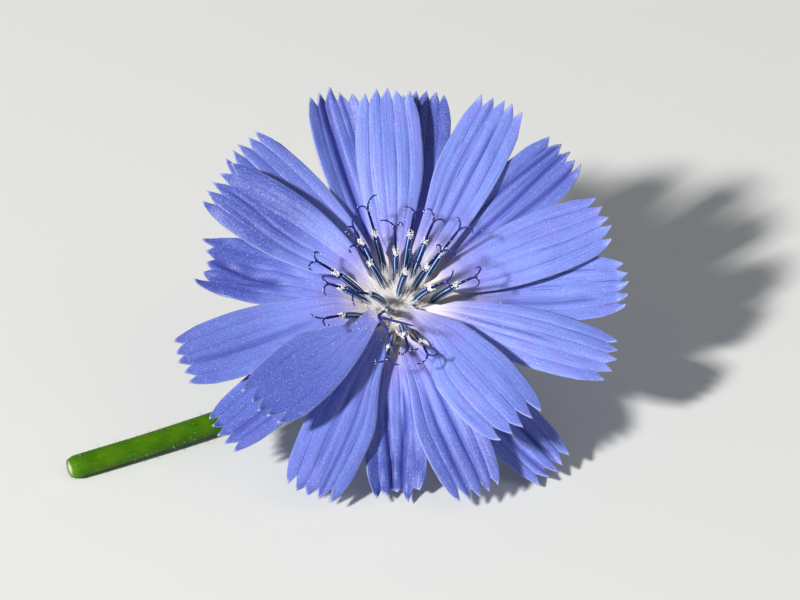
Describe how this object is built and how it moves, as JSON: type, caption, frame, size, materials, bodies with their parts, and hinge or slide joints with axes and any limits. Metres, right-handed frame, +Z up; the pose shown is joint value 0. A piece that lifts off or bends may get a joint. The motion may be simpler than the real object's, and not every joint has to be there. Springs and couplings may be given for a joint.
{
  "type": "chicory flower",
  "caption": "Picked wild flower head: blue toothed straps in layers round dark anther tubes, in a green cup on a short cut stalk, lying face up.",
  "frame": {"origin": "on the surface it lies on, under the middle of its box", "axes": "+Z up from the surface, +X to the right of the face with the stalk running to -X, -Y the side the face leans towards"},
  "size_m": [0.0476, 0.0312, 0.0246],
  "materials": {
    "petal": "fresh petal, lavender blue, paler at the throat, fine lengthwise grooves, soft sheen",
    "anther": "dark blue with pale lengthwise stripes, white pollen at the top",
    "bract": "fresh green leaf, matt, with a few stiff hairs",
    "stalk": "fresh green stem, finely ridged, cut pale at the end"
  },
  "bodies": {
    "root": {"floret_01": "petal", "floret_02": "petal", "floret_03": "petal", "floret_04": "petal", "floret_05": "petal", "floret_06": "petal", "floret_07": "petal", "floret_08": "petal", "floret_09": "petal", "floret_10": "petal", "floret_11": "petal", "floret_12": "petal", "floret_13": "petal", "floret_14": "petal", "floret_15": "petal", "floret_16": "petal", "floret_17": "petal", "floret_18": "petal", "floret_19": "petal", "anthers_01": "anther", "anthers_02": "anther", "anthers_03": "anther", "anthers_04": "anther", "anthers_05": "anther", "anthers_06": "anther", "anthers_07": "anther", "anthers_08": "anther", "anthers_09": "anther", "anthers_10": "anther", "anthers_11": "anther", "anthers_12": "anther", "anthers_13": "anther", "anthers_14": "anther", "anthers_15": "anther", "anthers_16": "anther", "anthers_17": "anther", "anthers_18": "anther", "anthers_19": "anther", "inner_bract_1": "bract", "inner_bract_2": "bract", "inner_bract_3": "bract", "inner_bract_4": "bract", "inner_bract_5": "bract", "inner_bract_6": "bract", "inner_bract_7": "bract", "inner_bract_8": "bract", "outer_bract_1": "bract", "outer_bract_2": "bract", "outer_bract_3": "bract", "outer_bract_4": "bract", "outer_bract_5": "bract", "stalk": "stalk"}
  },
  "joints": []
}
